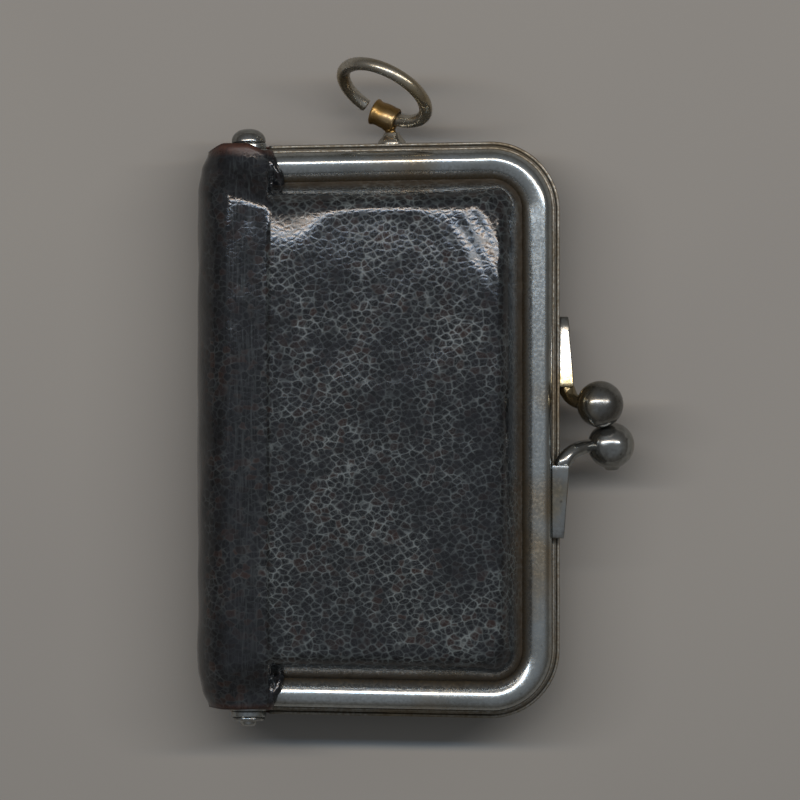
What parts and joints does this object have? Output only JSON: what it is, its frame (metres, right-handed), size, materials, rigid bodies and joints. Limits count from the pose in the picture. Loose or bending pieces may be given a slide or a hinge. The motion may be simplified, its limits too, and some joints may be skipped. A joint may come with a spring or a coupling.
{
  "type": "sovereign case",
  "caption": "Small riveted-frame leather coin case with a ball clasp, a swivel ring and two sprung coin wells inside.",
  "frame": {"origin": "on the flat middle of the back cover's pad, where the closed case rests on a table", "axes": "+Z from the back cover to the front cover, +Y to the suspension ring, +X from the hinge to the ball clasp"},
  "size_m": [0.0572, 0.0872, 0.0184],
  "materials": {
    "frame_metal": "worn nickel plate",
    "clasp_metal": "worn nickel over brass",
    "brass_fitting": "tarnished",
    "tray_metal": "gilt, lightly worn",
    "spring_steel": "dull",
    "cover_leather": "black, crackled and rubbed",
    "lining_leather": "brown skiver",
    "packing_card": "matt card"
  },
  "bodies": {
    "back_half": {"back_frame": "frame_metal", "back_leather": "cover_leather", "spine_leather": "cover_leather", "back_strip": "packing_card", "back_board": "packing_card", "back_lining": "lining_leather", "hinge_rivet_top": "frame_metal", "hinge_rivet_bottom": "frame_metal", "hinge_washers": "frame_metal", "back_clasp_plate": "frame_metal", "back_clasp_arm": "clasp_metal", "back_clasp_ball": "clasp_metal", "swivel_collar": "clasp_metal"},
    "front_half": {"front_frame": "frame_metal", "front_leather": "cover_leather", "front_strip": "packing_card", "front_packing": "packing_card", "coin_tray": "tray_metal", "tray_rivets": "tray_metal", "sovereign_cup": "tray_metal", "sovereign_rim": "tray_metal", "sovereign_spring": "spring_steel", "half_sovereign_cup": "tray_metal", "half_sovereign_rim": "tray_metal", "half_sovereign_spring": "spring_steel", "front_clasp_plate": "frame_metal", "front_clasp_arm": "clasp_metal", "front_clasp_ball": "clasp_metal"},
    "sovereign_lift": {"sovereign_platform": "tray_metal"},
    "half_sovereign_lift": {"half_sovereign_platform": "tray_metal"},
    "swivel": {"swivel_eye": "brass_fitting", "swivel_washer": "clasp_metal"},
    "suspension_ring": {"ring": "clasp_metal"}
  },
  "joints": [
    {"name": "lid_hinge", "type": "hinge", "parent": "back_half", "child": "front_half", "pos_m": [-0.0186, 0, 0.0092], "axis": [0, -1, 0], "range_deg": [0, 105], "deforming": ["spine_leather"]},
    {"name": "sovereign_platform_slide", "type": "slide", "parent": "front_half", "child": "sovereign_lift", "axis": [0, 0, 1], "range_m": [0, 0.0048], "stiffness_N_per_m": 150, "springref_m": -0.002, "deforming": ["sovereign_spring"]},
    {"name": "half_sovereign_platform_slide", "type": "slide", "parent": "front_half", "child": "half_sovereign_lift", "axis": [0, 0, 1], "range_m": [0, 0.0048], "stiffness_N_per_m": 150, "springref_m": -0.002, "deforming": ["half_sovereign_spring"]},
    {"name": "swivel_turn", "type": "hinge", "parent": "back_half", "child": "swivel", "pos_m": [0.00012, 0.0385, 0.0069], "axis": [0, 1, 0], "continuous": true},
    {"name": "ring_pivot", "type": "hinge", "parent": "swivel", "child": "suspension_ring", "pos_m": [-0.0008, 0.0411, 0.0069], "axis": [0.9004, -0.3767, 0.2178], "range_deg": [-153, 35]}
  ]
}
